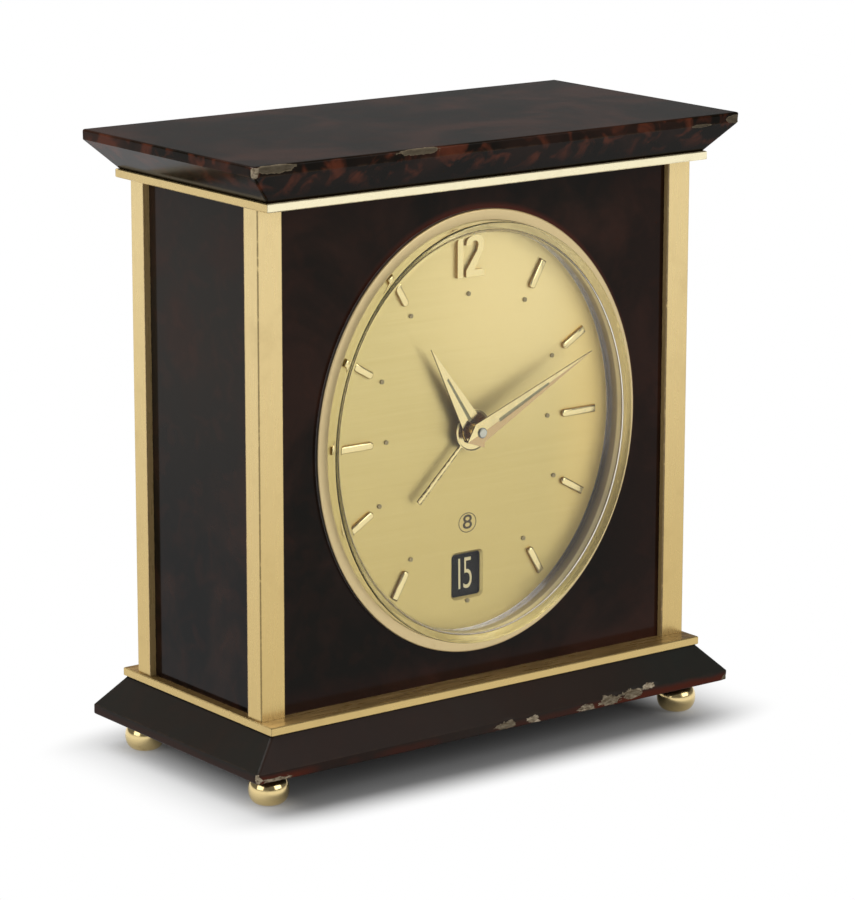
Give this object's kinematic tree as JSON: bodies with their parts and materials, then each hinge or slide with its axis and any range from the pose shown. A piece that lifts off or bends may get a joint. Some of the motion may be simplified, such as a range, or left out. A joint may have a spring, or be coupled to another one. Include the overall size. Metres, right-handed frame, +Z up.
{
  "type": "desk clock with calendar",
  "caption": "Upright desk alarm clock: lacquered cap, plinth and panels, brass posts and plates, oval dial with a date window, ball feet.",
  "frame": {"origin": "on the table, under the middle of the clock", "axes": "+Z up; the dial faces -Y; +X to the right as seen from the front"},
  "size_m": [0.11, 0.055, 0.1168],
  "materials": {
    "lacquered_wood": "high-gloss tortoiseshell lacquer, near black with dark red-brown clouds",
    "case_brass": "satin-polished gilt brass",
    "polished_gilt": "mirror-polished gilt brass",
    "dial_brass": "champagne gilt with fine horizontal brushing",
    "clear_crystal": "clear and polished",
    "luminous_paint": "aged grey-green paint",
    "black_date_ring": "matt black with cream numbers",
    "movement_brass": "plain brass",
    "steel": "plain steel"
  },
  "bodies": {
    "case": {"cap": "lacquered_wood", "plinth": "lacquered_wood", "top_plate": "case_brass", "bottom_plate": "case_brass", "post_front_left": "case_brass", "post_front_right": "case_brass", "post_rear_left": "case_brass", "post_rear_right": "case_brass", "front_panel": "lacquered_wood", "rear_panel": "lacquered_wood", "left_panel": "lacquered_wood", "right_panel": "lacquered_wood", "feet": "case_brass", "tie_bolts": "steel", "screws": "steel", "bezel": "case_brass", "crystal": "clear_crystal", "dial": "dial_brass", "hour_batons": "polished_gilt", "twelve_numeral": "polished_gilt", "luminous_dots": "luminous_paint", "calendar_plate": "movement_brass", "front_plate": "movement_brass", "rear_plate": "movement_brass", "plate_pillars": "steel", "back_cover": "case_brass", "hairspring": "steel"},
    "minute_hand_group": {"minute_hand": "polished_gilt", "minute_hand_lume": "luminous_paint", "cannon_pinion": "movement_brass", "centre_arbor": "steel", "hand_setting_knob": "polished_gilt"},
    "minute_wheel_group": {"minute_wheel": "movement_brass"},
    "hour_hand_group": {"hour_hand": "polished_gilt", "hour_hand_lume": "luminous_paint", "hour_wheel": "movement_brass"},
    "date_driver_group": {"date_driver": "movement_brass"},
    "date_disc_group": {"date_disc": "black_date_ring"},
    "alarm_hand_group": {"alarm_hand": "polished_gilt", "alarm_wheel": "movement_brass"},
    "alarm_setting_group": {"alarm_setting_arbor": "steel", "alarm_setting_knob": "polished_gilt"},
    "time_barrel_group": {"time_barrel": "movement_brass"},
    "intermediate_wheel_group": {"intermediate_wheel": "movement_brass"},
    "centre_wheel_group": {"centre_wheel": "movement_brass"},
    "third_wheel_group": {"third_wheel": "movement_brass"},
    "fourth_wheel_group": {"fourth_wheel": "movement_brass"},
    "escape_wheel_group": {"escape_wheel": "steel"},
    "pallet_fork_group": {"pallet_fork": "steel"},
    "balance_group": {"balance_wheel": "movement_brass"},
    "time_winding_group": {"time_winding_arbor": "steel", "time_winding_key": "polished_gilt"},
    "alarm_barrel_group": {"alarm_barrel": "movement_brass"},
    "strike_wheel_group": {"strike_wheel": "movement_brass"},
    "alarm_winding_group": {"alarm_winding_arbor": "steel", "alarm_winding_key": "polished_gilt"},
    "alarm_hammer_group": {"alarm_hammer": "steel"},
    "alarm_stop_group": {"alarm_stop_button": "polished_gilt"},
    "date_corrector_group": {"date_corrector": "polished_gilt"},
    "regulator_group": {"regulator_lever": "polished_gilt"}
  },
  "joints": [
    {"name": "minute_hand_turn", "type": "hinge", "parent": "case", "child": "minute_hand_group", "pos_m": [0, 0, 0.06155], "axis": [0, 1, 0], "continuous": true},
    {"name": "minute_wheel_turn", "type": "hinge", "parent": "case", "child": "minute_wheel_group", "pos_m": [0.006, 0, 0.06155], "axis": [0, 1, 0], "continuous": true},
    {"name": "hour_hand_turn", "type": "hinge", "parent": "case", "child": "hour_hand_group", "pos_m": [0, 0, 0.06155], "axis": [0, 1, 0], "continuous": true},
    {"name": "date_driver_turn", "type": "hinge", "parent": "case", "child": "date_driver_group", "pos_m": [-0.01052, 0, 0.05547], "axis": [0, 1, 0], "continuous": true},
    {"name": "date_disc_turn", "type": "hinge", "parent": "case", "child": "date_disc_group", "pos_m": [0, 0, 0.06155], "axis": [0, 1, 0], "continuous": true},
    {"name": "alarm_setting_turn", "type": "hinge", "parent": "case", "child": "alarm_setting_group", "pos_m": [0.00073, 0, 0.05318], "axis": [0, 1, 0], "continuous": true},
    {"name": "alarm_hand_turn", "type": "hinge", "parent": "case", "child": "alarm_hand_group", "pos_m": [0, 0, 0.06155], "axis": [0, 1, 0], "continuous": true},
    {"name": "escape_wheel_turn", "type": "hinge", "parent": "case", "child": "escape_wheel_group", "pos_m": [0.00122, 0, 0.07799], "axis": [0, 1, 0], "continuous": true},
    {"name": "fourth_wheel_turn", "type": "hinge", "parent": "case", "child": "fourth_wheel_group", "pos_m": [0.00577, 0, 0.07418], "axis": [0, 1, 0], "continuous": true},
    {"name": "third_wheel_turn", "type": "hinge", "parent": "case", "child": "third_wheel_group", "pos_m": [0.00259, 0, 0.06865], "axis": [0, 1, 0], "continuous": true},
    {"name": "centre_wheel_turn", "type": "hinge", "parent": "case", "child": "centre_wheel_group", "pos_m": [0, 0, 0.06155], "axis": [0, 1, 0], "continuous": true},
    {"name": "intermediate_wheel_turn", "type": "hinge", "parent": "case", "child": "intermediate_wheel_group", "pos_m": [-0.00746, 0, 0.06612], "axis": [0, 1, 0], "continuous": true},
    {"name": "time_barrel_turn", "type": "hinge", "parent": "case", "child": "time_barrel_group", "pos_m": [-0.0132, 0, 0.05335], "axis": [0, 1, 0], "continuous": true},
    {"name": "pallet_fork_swing", "type": "hinge", "parent": "case", "child": "pallet_fork_group", "pos_m": [-0.00366, 0, 0.07842], "axis": [0, 1, 0], "range_deg": [-5, 5]},
    {"name": "balance_swing", "type": "hinge", "parent": "case", "child": "balance_group", "pos_m": [-0.01003, 0, 0.07786], "axis": [0, 1, 0], "range_deg": [-250, 250], "stiffness_Nm_per_rad": 0.000008},
    {"name": "time_winding_turn", "type": "hinge", "parent": "case", "child": "time_winding_group", "pos_m": [-0.0132, 0, 0.05335], "axis": [0, -1, 0], "range_deg": [0, 2880]},
    {"name": "strike_wheel_turn", "type": "hinge", "parent": "case", "child": "strike_wheel_group", "pos_m": [0.01132, 0, 0.06399], "axis": [0, 1, 0], "continuous": true},
    {"name": "alarm_barrel_turn", "type": "hinge", "parent": "case", "child": "alarm_barrel_group", "pos_m": [0.0132, 0, 0.05335], "axis": [0, 1, 0], "continuous": true},
    {"name": "alarm_winding_turn", "type": "hinge", "parent": "case", "child": "alarm_winding_group", "pos_m": [0.0132, 0, 0.05335], "axis": [0, -1, 0], "range_deg": [0, 1800]},
    {"name": "alarm_hammer_swing", "type": "hinge", "parent": "case", "child": "alarm_hammer_group", "pos_m": [0.01804, 0, 0.0707], "axis": [0, 1, 0], "range_deg": [-8, 4], "stiffness_Nm_per_rad": 0.004},
    {"name": "alarm_stop_slide", "type": "slide", "parent": "case", "child": "alarm_stop_group", "axis": [0, -1, 0], "range_m": [0, 0.0025]},
    {"name": "date_corrector_press", "type": "slide", "parent": "case", "child": "date_corrector_group", "axis": [0, -1, 0], "range_m": [0, 0.001], "stiffness_N_per_m": 100},
    {"name": "regulator_swing", "type": "hinge", "parent": "case", "child": "regulator_group", "pos_m": [-0.01003, 0, 0.07786], "axis": [0, 1, 0], "range_deg": [-20, 20]}
  ],
  "couplings": [
    {"joint": "minute_wheel_turn", "follows": "minute_hand_turn", "ratio": -0.33333},
    {"joint": "hour_hand_turn", "follows": "minute_hand_turn", "ratio": 0.083333},
    {"joint": "date_driver_turn", "follows": "minute_hand_turn", "ratio": -0.041667},
    {"joint": "alarm_hand_turn", "follows": "alarm_setting_turn", "ratio": -0.33333},
    {"joint": "escape_wheel_turn", "follows": "centre_wheel_turn", "ratio": -480},
    {"joint": "fourth_wheel_turn", "follows": "centre_wheel_turn", "ratio": 60},
    {"joint": "third_wheel_turn", "follows": "centre_wheel_turn", "ratio": -8},
    {"joint": "intermediate_wheel_turn", "follows": "centre_wheel_turn", "ratio": -0.25},
    {"joint": "time_barrel_turn", "follows": "centre_wheel_turn", "ratio": 0.041667},
    {"joint": "alarm_barrel_turn", "follows": "strike_wheel_turn", "ratio": -0.2}
  ]
}
